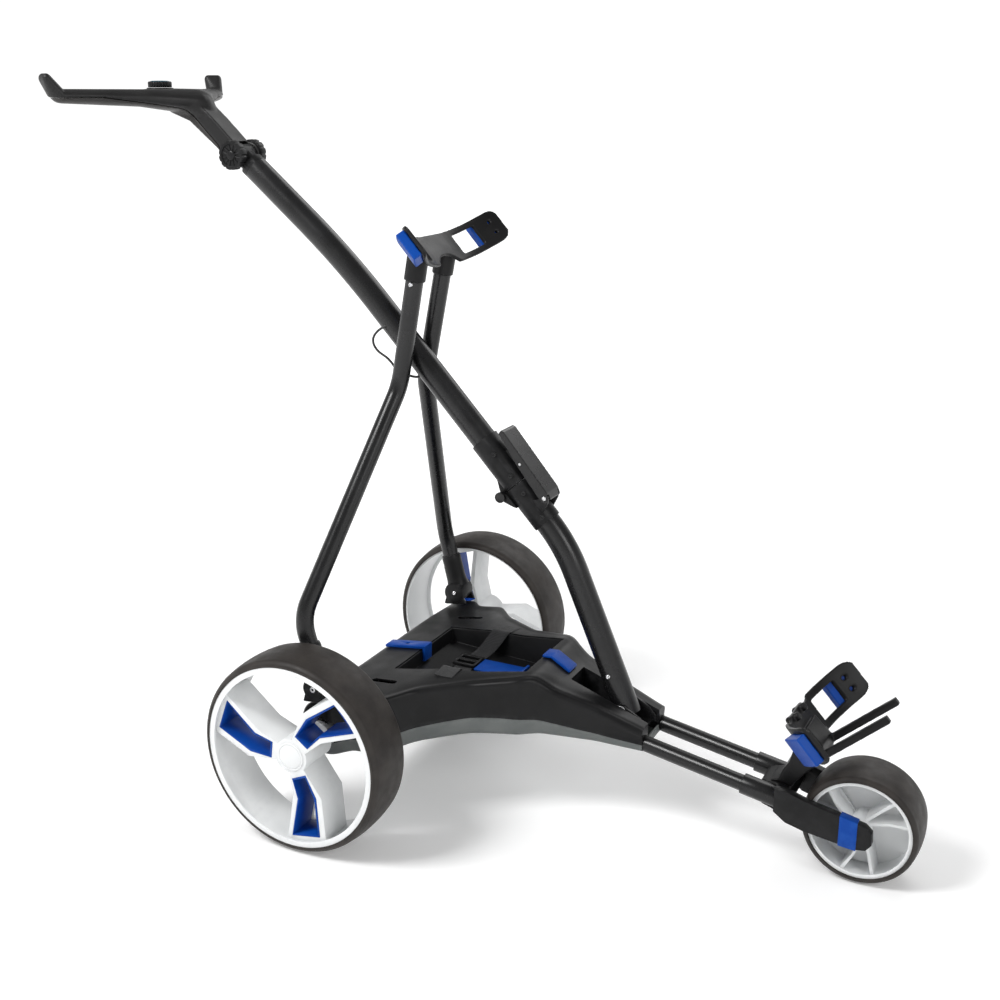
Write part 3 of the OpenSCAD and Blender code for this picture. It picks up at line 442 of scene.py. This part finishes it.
def front_web():
    """The dished web between the front wheel's spokes, which the CAD rim doesn't have."""
    low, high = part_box("front_rim")
    web = [(14, 3), (28, 4.5), (50, 4.5), (64.6, 2), (64.6, 5), (50, 7.5), (28, 7.5), (14, 6)]
    piece("front_rim_web", lathe((low + high) / 2, web), [], "front_wheel", "rim_white")


front_web()


# ---------------------------------------------------------------- housing

# Along X: half width, deck height, the line where the covers meet, the underside's height,
# the tray's half width, and the floor of the slot in the nose.
PLAN = [(-42, 204), (-34, 226), (12, 226), (30, 203), (72, 203), (96, 172), (105, 159),
        (170, 114), (235, 95), (258, 77), (337, 56), (402, 48)]
TOP = [(-42, 160), (-26, 182), (72, 195.5), (105, 201), (170, 207), (238, 218), (250, 219),
       (276, 203), (335, 182), (402, 157.5)]
BELT = [(-50, 122), (60, 128), (97, 143), (134, 147), (202, 159), (257, 156), (322, 142),
        (396, 136), (420, 133)]
KEEL = [(-50, 104), (60, 106), (102, 119), (191, 128), (245, 131), (320, 127), (420, 122.5)]
TRAY = [(-42, 90), (37, 90), (237, 66), (286, 23.5), (402, 23.5)]
SLOT_FLOOR = [(286, 168), (322, 150), (345, 141), (402, 138.5)]
TAIL, TRAY_REAR, TRAY_FRONT, SLOT_REAR, NOSE = -42, 37, 237, 286, 402
WELLS_END = 125      # the wheel wells lie behind this
AXLE_Z, AXLE_HOLE_R = 140, 20
EDGE_REACH, BELT_REACH = 9, 62    # how far the plan's and the belt's corners are rounded
COVER_WALL, TRAY_WALL = 2.6, 2.4
COVER_ANGLE = 38     # degrees; sharper folds in the covers stay crisp


def smoothed(table, x, reach):
    """The table's value at x, averaged over reach to each side so that corners are rounded."""
    low, high = table[0][0], table[-1][0]
    reach = min(reach, x - low, high - x)
    if reach <= 0:
        return along_line(table, x)
    weights = [1, 2, 3, 4, 4, 4, 3, 2, 1]
    total = sum(w * along_line(table, x + reach * (k - 4) / 4) for k, w in enumerate(weights))
    return total / sum(weights)


def stations():
    """Places along X for the housing's sections, close together at the wheel wells."""
    fixed = {TAIL, TRAY_REAR, TRAY_FRONT, SLOT_REAR, NOSE}
    xs, x = set(fixed), TAIL
    while x < NOSE:
        xs.add(x)
        x += 2 if x < WELLS_END else 4
    return [x for x in sorted(xs) if x in fixed or min(abs(x - f) for f in fixed) > 1.2]


def axle_hole():
    return sweep([at(0, -250, AXLE_Z), at(0, 250, AXLE_Z)], AXLE_HOLE_R * MM, 48)


def shell(bm, name, wall):
    """A cover's two halves joined and given a wall of that many millimetres inwards."""
    bmesh.ops.remove_doubles(bm, verts=bm.verts, dist=SEAM_WELD)
    for vert in [v for v in bm.verts if not v.link_faces]:
        bm.verts.remove(vert)
    return modified(mesh_from(bm, name), ("SOLIDIFY", {
        "thickness": wall * MM, "offset": -1.0, "use_even_offset": False}))


def housing():
    """The top cover: a crowned deck, a rounded lip along its edge and slightly hollow walls."""
    bm = bmesh.new()
    wall_steps, arc_steps, top_steps = 8, 7, 16
    rows = []
    for x in stations():
        w = smoothed(PLAN, x, EDGE_REACH)
        top = smoothed(TOP, x, EDGE_REACH)
        belt = smoothed(BELT, x, BELT_REACH)
        inner = along_line(TRAY, x)
        r = min(7.5, 0.3 * (top - belt), 0.3 * (w - inner))
        fall = min(5, 0.13 * (w - inner))
        edge = w - r
        lip = min(1.8, 0.05 * (w - inner))
        section = [(0.0, top), (inner * 0.5, top), (inner, top)]
        for k in range(1, top_steps + 1):
            t = k / top_steps
            y = inner + (edge - inner) * t
            bead = lip * math.exp(-((y - edge + 2) / 6) ** 2) * min(1, 3 * t)
            section.append((y, top - fall * t * t + bead))
        low = section[-1][1]
        for k in range(1, arc_steps + 1):
            a = math.pi / 2 * k / arc_steps
            section.append((edge + r * math.sin(a), low - r + r * math.cos(a)))
        for k in range(1, wall_steps + 1):
            t = k / wall_steps
            section.append((w - 2.2 * math.sin(math.pi * t), (low - r) * (1 - t) + belt * t))
        rows.append((x, section))
    for way in (1, -1):
        grid = [[bm.verts.new(at(x, way * y, z)) for y, z in section] for x, section in rows]
        n = len(grid[0])
        for i in range(len(grid) - 1):
            middle = (rows[i][0] + rows[i + 1][0]) / 2
            open_here = TRAY_REAR < middle < TRAY_FRONT or middle > SLOT_REAR
            strip(bm, grid[i], grid[i + 1], 2 if open_here else 0)
        for i, start in ((0, 0), (len(grid) - 1, 2)):
            x, section = rows[i]
            foot = bm.verts.new(at(x, way * section[start][0], section[-1][1]))
            bm.faces.new([grid[i][j] for j in range(start, n)] + [foot])
        slot = [i for i, (x, section) in enumerate(rows) if x >= SLOT_REAR]
        floor = [bm.verts.new(at(rows[i][0], way * rows[i][1][2][0],
                                 along_line(SLOT_FLOOR, rows[i][0]))) for i in slot]
        for k in range(len(slot) - 1):
            bm.faces.new((grid[slot[k]][2], grid[slot[k + 1]][2], floor[k + 1], floor[k]))
        middle_foot = bm.verts.new(at(SLOT_REAR, 0, SLOT_FLOOR[0][1]))
        bm.faces.new([grid[slot[0]][j] for j in range(3)] + [floor[0], middle_foot])
    slots = [slot_prism((31, way * 133), (62, way * 136), 5.2, 180, 230)
             for way in (1, -1)]    # one in each side of the deck, cut right through it
    mesh = carved(shell(bm, "housing", COVER_WALL), axle_hole(), *slots)
    piece("chassis_housing", mesh, ["chassis_shell"], smooth_angle=COVER_ANGLE)


def undertray():
    """The lower cover: short walls under the belt line that turn in to a flat keel."""
    bm = bmesh.new()
    arc_steps = 7
    rows = []
    for x in stations():
        w = smoothed(PLAN, x, EDGE_REACH) - 1.2
        belt = smoothed(BELT, x, BELT_REACH) - 0.8
        keel = smoothed(KEEL, x, BELT_REACH)
        r = min(9, 0.6 * (belt - keel))
        section = [(w, belt), (w, (belt + keel + r) / 2)]
        for k in range(arc_steps + 1):
            a = math.pi / 2 * k / arc_steps
            section.append((w - r + r * math.cos(a), keel + r - r * math.sin(a)))
        section += [((w - r) * f, keel) for f in (0.66, 0.33, 0.0)]
        rows.append((x, section))
    for way in (1, -1):
        grid = [[bm.verts.new(at(x, way * y, z)) for y, z in section] for x, section in rows]
        for a, b in zip(grid, grid[1:]):
            strip(bm, a, b)
        for i in (0, len(grid) - 1):
            x, section = rows[i]
            head = bm.verts.new(at(x, 0, section[0][1]))
            bm.faces.new(grid[i] + [head])
    mesh = carved(shell(bm, "undertray", TRAY_WALL), axle_hole())
    piece("chassis_undertray_finish", mesh, ["chassis_undertray"], smooth_angle=COVER_ANGLE)


housing()
undertray()


# ---------------------------------------------------------------- shaft, stays and cable

def slope(angle):
    """Unit step in the side view that falls angle degrees below the horizontal."""
    return Vector((math.cos(math.radians(angle)), 0, -math.sin(math.radians(angle))))


def arc_points(start, angle, turn, radius, n, way):
    """Points of a bend that starts at angle and turns by turn degrees, down or up the shaft."""
    out = []
    for k in range(n + 1):
        t = turn * k / n
        chord = 2 * radius * math.sin(math.radians(abs(t) / 2))
        out.append(start + way * chord * slope(angle + t / 2))
    return out


SPLIT = Vector((190, 0, 467))     # where the two halves of the shaft meet
SPLIT_GAP = 1                     # from there to each half's end
TILT, SHAFT_R, STAY_R, STAY_BEND_R, CABLE_R = 47, 18.25, 12.5, 70, 1.75
# For each half: the straight before its bend, the bend's degrees and radius, the straight after.
LOWER_HALF = (67, 19.5, 238, 212.4)
UPPER_HALF = (323, -7.3, 1300, 113)


def row(points):
    return [at(*p) for p in points]


def shaft_half(node, way, half, steps):
    """One tube of the shaft, from the split down (way 1) or up (way -1)."""
    first, turn, radius, last = half
    start = SPLIT + way * SPLIT_GAP * slope(TILT)
    knee = SPLIT + way * first * slope(TILT)
    curve = arc_points(knee, TILT, turn, radius, steps, way)
    end = curve[-1] + way * last * slope(TILT + turn)
    piece(node + "_finish", sweep(row([start] + curve + [end]), SHAFT_R * MM, 48), [node])


shaft_half("lower_tube", 1, LOWER_HALF, 16)
shaft_half("upper_tube", -1, UPPER_HALF, 12)

STAY = [(-14.7, 209, 217), (-38.7, 211, 298), (21.3, 37.5, 598.3), (50, 40.5, 758)]
for side, way in SIDES:
    line = bent(row([(x, way * y, z) for x, y, z in STAY]), STAY_BEND_R * MM, 12)
    piece(f"stay_{side}_finish", sweep(line, STAY_R * MM, 40), [f"stay_{side}"])

CABLE = [(-9, -16, 678), (-16, -19, 675), (-24, -20.5, 669), (-30, -21, 661), (-31, -21, 653),
         (-28, -21, 646), (-22, -21, 640), (-15, -21, 636), (-8, -21, 632), (-2, -20, 626),
         (4, -18, 618), (12, -14, 611.5), (21, -10, 607.5), (30, -7, 605.8), (38, -6.5, 607)]


def spline(points, steps):
    """Points on a smooth curve through the given ones."""
    points = [Vector(p) for p in points]
    out = []
    for i in range(len(points) - 1):
        p0, p1 = points[max(i - 1, 0)], points[i]
        p2, p3 = points[i + 1], points[min(i + 2, len(points) - 1)]
        for k in range(steps):
            t = k / steps
            out.append(0.5 * (2 * p1 + (p2 - p0) * t + (2 * p0 - 5 * p1 + 4 * p2 - p3) * t * t
                              + (3 * p1 - p0 - 3 * p2 + p3) * t ** 3))
    out.append(points[-1])
    return out


piece("shaft_cable_finish", sweep(spline(row(CABLE), 6), CABLE_R * MM, 16), ["shaft_cable"])


# ---------------------------------------------------------------- mouldings

def moulded(node, voxel, rounds, look=None):
    """A CAD node remeshed and relaxed into one smooth moulding."""
    mesh = modified(cad_copy(node),
                    ("REMESH", {"mode": "VOXEL", "voxel_size": voxel * MM}),
                    ("SMOOTH", {"factor": 0.5, "iterations": rounds}))
    obj = piece(node + "_finish", mesh, [node], smooth_angle=70)
    if look:
        obj.data.materials[0] = MATERIALS[look]


moulded("handle_top", 1.5, 10)
moulded("handle_bottom", 1.5, 10, "handle_under")
moulded("lower_cradle", 1.3, 6)
moulded("upper_cradle", 1.3, 5)
moulded("fork_head", 1.5, 8)
moulded("latch_lever", 0.8, 4)
moulded("upper_cradle_pads", 1.1, 9)
moulded("lower_cradle_pads", 1.1, 9)


# ---------------------------------------------------------------- knobs, dial and small parts

def joined(*meshes):
    bm = bmesh.new()
    for mesh in meshes:
        bm.from_mesh(mesh)
    return mesh_from(bm, "joined")


KNOB_RECESS = 1.8              # depth of the recess in a tilt knob's outer face
KNOB_RIBS, KNOB_RIB_R = 12, 1.1
RIB_START, RIB_END = 5, 15.2    # from the knob's axis
DIAL_FOOT = 9                   # the handle's surface lies this far under the dial's top
DIAL_FLUTES, FLUTE_DEPTH = 24, 0.9
UP = (0, 0, 1)


def knob_face(side, way):
    """Radial ribs round a domed hub in the recess of a tilt knob's outer face."""
    low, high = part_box("tilt_knob_" + side)
    face = Vector(((low.x + high.x) / 2, high.y if way > 0 else low.y, (low.z + high.z) / 2))
    out = Vector((0, way, 0))
    floor = face - out * KNOB_RECESS * MM
    ribs = []
    for k in range(KNOB_RIBS):
        a = FULL_TURN * (k + 0.5) / KNOB_RIBS
        arm = Vector((math.cos(a), 0, math.sin(a))) * MM
        ribs.append(sweep([floor + arm * RIB_START, floor + arm * RIB_END],
                          KNOB_RIB_R * MM, 12))
    dome = [(AXIS, -0.5), (7.5, -0.5), (7.3, 1.2), (6.4, 2.2), (4.4, 2.9), (AXIS, 3.2)]
    piece(f"tilt_knob_{side}_ribs", joined(lathe(floor, dome, 48, out), *ribs), [],
          "knob_" + side, "housing_black")


for side, way in SIDES:
    knob_face(side, way)


def dial():
    """The fluted ring, the collar under it and the blue-green cap, about the dial's axis."""
    low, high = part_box("speed_dial")
    foot = Vector(((low.x + high.x) / 2, (low.y + high.y) / 2, high.z - DIAL_FOOT * MM))
    ring = [(9, -0.4), (16.9, -0.4), (17.5, 0.4), (17.5, 6.8), (16.9, 7.9), (15.9, 8.3),
            (15.1, 7.6), (9, 7.4)]
    collar = [(12, -6), (20.6, -6), (20.4, -3.4), (19.4, -1.8), (17.0, -0.9), (12, -0.9)]
    cap = [(AXIS, 6.5), (14.9, 6.5), (14.9, 7.9), (13.8, 8.8), (11, 9.3), (5, 9.5),
           (AXIS, 9.5)]
    piece("speed_dial_ring", lathe(foot, ring, 192, UP, DIAL_FLUTES, FLUTE_DEPTH), [], "dial",
          "housing_black")
    piece("dial_collar", lathe(foot, collar, 96, UP), [], "handle", "housing_black")
    piece("speed_dial_cap", lathe(foot, cap, 96, UP), ["speed_dial"])


dial()


def screw(name, body, place, direction, r):
    """A domed socket screw that stands on a surface; the place is in millimetres."""
    profile = [(AXIS, -0.6), (r, -0.6), (r, 0.6), (r * 0.88, 1.5), (r * 0.6, 2.1), (r * 0.5, 2.0),
               (r * 0.42, 0.9), (AXIS, 0.8)]
    piece(name, lathe(at(*place), profile, 48, direction), [], body, "steel")


screw("lower_tube_screw", "lower_shaft", (339.3, -18.2, 211.6), (0, -1, 0), 3.6)
for side, way in reversed(SIDES):
    screw(f"stay_top_screw_{side}", "stays", (49, way * 53.2, 744), (0, way, 0), 3.4)


BOOT_R, BOOT_FLARE, BOOT_CROWN = 15.4, 2.4, 0.9
BOOT_START, BOOT_LENGTH = -0.05, 0.60    # shares of the straight from the foot to the knee


def stay_boot(side, way):
    """The moulded sleeve round a stay above its foot, wide below and drawn in at its top."""
    foot, knee = (Vector((x, way * y, z)) for x, y, z in STAY[:2])
    steps = 12
    line = [at(*(foot + (knee - foot) * (k / steps * BOOT_LENGTH + BOOT_START)))
            for k in range(steps + 1)]

    def radius(t):
        flare = BOOT_FLARE * max(0.0, 1 - t / 0.35) ** 2
        crown = BOOT_CROWN * max(0.0, (t - 0.92) / 0.08) ** 2
        return (BOOT_R + flare - crown) * MM

    piece(f"stay_boot_{side}", sweep(line, radius, 48), [], "stays", "housing_black")


def foot_barrel(side, way):
    """The round hinge cover at a stay's foot, with a screw in its inner face."""
    barrel = [(AXIS, -19.5), (13.5, -19.5), (16.2, -18.6), (17, -16.5), (17, 16.5), (16.2, 18.6),
              (13.5, 19.5), (AXIS, 19.5)]
    place = (-12.7, way * 209, 203)
    piece(f"foot_barrel_{side}", lathe(at(*place), barrel, 72), [], "stays", "housing_black")
    screw(f"foot_screw_{side}", "stays", (-11, way * 189.6, 204), (0, -way, 0), 3.6)


for side, way in SIDES:
    stay_boot(side, way)
    foot_barrel(side, way)


# ---------------------------------------------------------------- strap

STRAP_W, STRAP_HALF_T = 28, 0.75
STRAP_CROWN = 0.36    # half the height of its middle above its edges


def battery_strap():
    """Webbing that hangs over the left edge of the tray, across its floor and out again."""
    line = [(136, 105, 202.4), (134, 96, 203.6), (132, 84, 204.4), (129, 75, 204.4),
            (124, 68.4, 195.5), (117, 61, 183.5), (110, 52.5, 174.4), (104, 40, 169.8),
            (102, 20, 169.4), (103, 0, 169.4), (108, -25, 169.4), (114, -47, 169.8),
            (118, -58.5, 176), (121, -65, 188), (123, -69.2, 199), (124, -75, 204.4),
            (125, -84, 204.6), (125, -96, 203.6), (125, -105, 202.4)]
    points = spline([Vector(p) for p in line], 5)
    bm = bmesh.new()
    across = 12
    rows = []
    for i, p in enumerate(points):
        along = points[min(i + 1, len(points) - 1)] - points[max(i - 1, 0)]
        along = Vector((0, along.y, along.z)).normalized()
        out = Vector((0, -along.z, along.y))
        ring = []
        for k in range(across + 1):
            u = k / across - 0.5
            thick = STRAP_HALF_T * (1 - (2 * abs(u)) ** 10 * 0.5)
            centre = p + out * STRAP_CROWN * math.cos(FULL_TURN * u)
            ring.append((centre, out * thick, p.x + STRAP_W * u))
        rows.append(ring)
    top, bottom = [], []
    for ring in rows:
        top.append([bm.verts.new(at(x, (c + o).y, (c + o).z)) for c, o, x in ring])
        bottom.append([bm.verts.new(at(x, (c - o).y, (c - o).z)) for c, o, x in ring])
    for i in range(len(rows) - 1):
        strip(bm, top[i], top[i + 1])
        strip(bm, bottom[i + 1], bottom[i])
        for k in (0, across):
            bm.faces.new((top[i][k], top[i + 1][k], bottom[i + 1][k], bottom[i][k]))
    for i in (0, len(rows) - 1):
        strip(bm, bottom[i], top[i])
    piece("battery_strap_finish", mesh_from(bm, "strap"), ["battery_strap"])


battery_strap()


# ---------------------------------------------------------------- the rest of the CAD nodes

# Edge radius of each remaining CAD node that shows.
ROUNDED = {
    "battery_tray": 0.8, "tray_pad": 1.0, "tray_clip_rear": 0.8, "tray_clip_front": 0.8,
    "strap_buckle": 0.8, "battery_socket": 0.8, "controller_box": 1.0, "motor_body": 1.5,
    "gearbox_case": 1.5, "stay_brackets": 0.6, "shaft_bracket": 0.7, "shaft_pivot_pin": 0.3,
    "fork_tubes": 0.6, "fork_legs": 1.8, "leg_bands": 0.6, "chassis_screws": 0.3,
    "lower_clamp": 0.9, "upper_clamp": 0.9, "hinge_pin": 0.5, "lower_clamp_screws": 0.3,
    "upper_clamp_screws": 0.3, "latch_pin": 0.3, "shaft_head": 0.8, "stay_feet": 1.0,
    "dial_base": 0.5, "tilt_knob_left": 0.8, "tilt_knob_right": 0.8,
}
for node, width in ROUNDED.items():
    soften(node, width)

for node, obj in nodes.items():
    obj.data.materials.clear()
    obj.data.materials.append(MATERIALS[slot_of[node]])


# ---------------------------------------------------------------- floor, light and camera

FLOOR_SIZE, FLOOR_Z = 20, -0.0004        # metres; the floor lies just under the wheels
GLOW_FROM, GLOW_TO = (1.0, 3.4), (0.16, 0.85)    # metres from the middle, and emission there
SKY_FROM, SKY_TO = (0.17, 0.36), (1.05, 0.34)    # height in the sky, and strength there
AIM = (0, 0, 0.45)
LAMPS = {    # place, power and size
    "key": ((-1.5, -2.0, 3.0), 105, 1.2),
    "fill": ((2.8, -1.4, 2.0), 26, 1.2),
    "back": ((0.4, 2.6, 2.8), 40, 2.2),
}
LENS, SENSOR, SHIFT = 49.14, 36, (0.0432, -0.0362)
CAMERA_PLACE, CAMERA_AIM = at(961.5, -1670.3, 1005.3), at(92.35, 0, 483.6)


def placed(name, data, place, target=None):
    """Adds an object to the scene, turned to look at the target if there is one."""
    obj = bpy.data.objects.new(name, data)
    bpy.context.scene.collection.objects.link(obj)
    obj.location = place
    if target is not None:
        look = Vector(target) - Vector(place)
        obj.rotation_euler = look.to_track_quat("-Z", "Y").to_euler()
    return obj


def paper_floor():
    """White paper that glows away from the trolley, so that it runs out into white."""
    bm = bmesh.new()
    bmesh.ops.create_grid(bm, x_segments=8, y_segments=8, size=FLOOR_SIZE)
    mesh = mesh_from(bm, "floor")
    g = Graph("floor_paper")
    patches = g.remap(g.noise(0.9), *GLOSS_SPAN, 0.0, 1.0)
    g.feed(g.shader, "Base Color", g.mix(patches, rgb(0.93, 0.93, 0.93), rgb(0.95, 0.95, 0.95)))
    g.feed(g.shader, "Roughness", g.remap(g.noise(0.2), *GLOSS_SPAN, 0.55, 0.7))
    g.shader.inputs["Specular IOR Level"].default_value = 0.1
    g.shader.inputs["Emission Color"].default_value = rgb(1, 1, 1)
    far = g.add("ShaderNodeVectorMath", Vector=g.place)
    far.operation = "LENGTH"
    glow = g.remap(far.outputs["Value"], *GLOW_FROM, *GLOW_TO)
    g.feed(g.shader, "Emission Strength", glow)
    mesh.materials.append(g.material)
    placed("floor", mesh, (0, 0, FLOOR_Z))


def sky():
    """A white sky, brighter near the horizon than overhead."""
    world = bpy.data.worlds.new("studio")
    bpy.context.scene.world = world
    world.use_nodes = True
    tree = world.node_tree
    place = tree.nodes.new("ShaderNodeTexCoord")
    split = tree.nodes.new("ShaderNodeSeparateXYZ")
    fade = tree.nodes.new("ShaderNodeMapRange")
    back = tree.nodes["Background"]
    tree.links.new(place.outputs["Generated"], split.inputs["Vector"])
    tree.links.new(split.outputs["Z"], fade.inputs["Value"])
    for key, value in zip(("From Min", "From Max", "To Min", "To Max"), SKY_FROM + SKY_TO):
        fade.inputs[key].default_value = value
    tree.links.new(fade.outputs["Result"], back.inputs["Strength"])
    back.inputs["Color"].default_value = rgb(1, 1, 1)


def lamps_and_camera():
    for name, (place, power, size) in LAMPS.items():
        light = bpy.data.lights.new(name, "AREA")
        light.energy, light.size = power, size
        placed(name, light, place, AIM)
    bpy.context.scene.view_settings.view_transform = "Standard"
    camera = bpy.data.cameras.new("camera")
    camera.sensor_width, camera.lens = SENSOR, LENS
    camera.shift_x, camera.shift_y = SHIFT
    camera.clip_end = 100
    bpy.context.scene.camera = placed("camera", camera, CAMERA_PLACE, CAMERA_AIM)


paper_floor()
sky()
lamps_and_camera()
